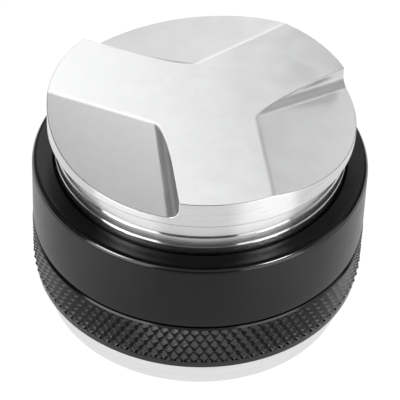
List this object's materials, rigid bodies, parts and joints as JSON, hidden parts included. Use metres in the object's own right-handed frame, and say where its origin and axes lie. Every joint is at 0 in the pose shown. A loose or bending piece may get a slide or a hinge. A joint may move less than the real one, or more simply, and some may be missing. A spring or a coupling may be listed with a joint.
{
  "type": "coffee distributor and tamper",
  "caption": "Dual-ended espresso puck tool: sloped steel distributor face above, flat steel tamper face below, both depth-adjusted by screw in a black body with a knurled grip ring.",
  "frame": {"origin": "centre of the flat tamper face, at the bottom of the part", "axes": "+Z is the common axis of all the turned pieces and points from the tamper face to the distributor face; +X passes through the cross pin"},
  "size_m": [0.064, 0.064, 0.0454],
  "materials": {
    "distributor_steel": "fine satin machined stainless steel",
    "tamper_steel": "fine satin turned stainless steel",
    "collar_anodised": "smooth satin black anodising",
    "grip_anodised": "diamond knurl under satin black anodising",
    "web_aluminium": "plain turned aluminium",
    "stud_steel": "machined steel",
    "pin_steel": "ground steel",
    "screw_steel": "stainless steel",
    "seal_rubber": "matte black nitrile"
  },
  "bodies": {
    "tamper": {"tamper_head": "tamper_steel"},
    "tamper_ring": {"tamper_seal": "seal_rubber"},
    "housing": {"grip_ring": "grip_anodised", "web_disc": "web_aluminium", "centre_stud": "stud_steel", "cross_pin": "pin_steel", "body_screws": "screw_steel", "collar": "collar_anodised"},
    "distributor_ring": {"distributor_seal": "seal_rubber"},
    "distributor": {"distributor_head": "distributor_steel"}
  },
  "joints": [
    {"name": "tamper_turn", "type": "hinge", "parent": "tamper", "child": "tamper_ring", "pos_m": [0, 0, 0], "axis": [0, 0, 1], "range_deg": [-252, 306]},
    {"name": "tamper_depth", "type": "slide", "parent": "tamper_ring", "child": "housing", "axis": [0, 0, 1], "range_m": [-0.0014, 0.0017]},
    {"name": "distributor_depth", "type": "slide", "parent": "housing", "child": "distributor_ring", "axis": [0, 0, 1], "range_m": [-0.0075, 0.0015]},
    {"name": "distributor_turn", "type": "hinge", "parent": "distributor_ring", "child": "distributor", "pos_m": [0, 0, 0], "axis": [0, 0, 1], "range_deg": [-1350, 270]}
  ],
  "couplings": [
    {"joint": "tamper_depth", "follows": "tamper_turn", "m_per_rad": 0.00031831},
    {"joint": "distributor_depth", "follows": "distributor_turn", "m_per_rad": 0.00031831}
  ]
}
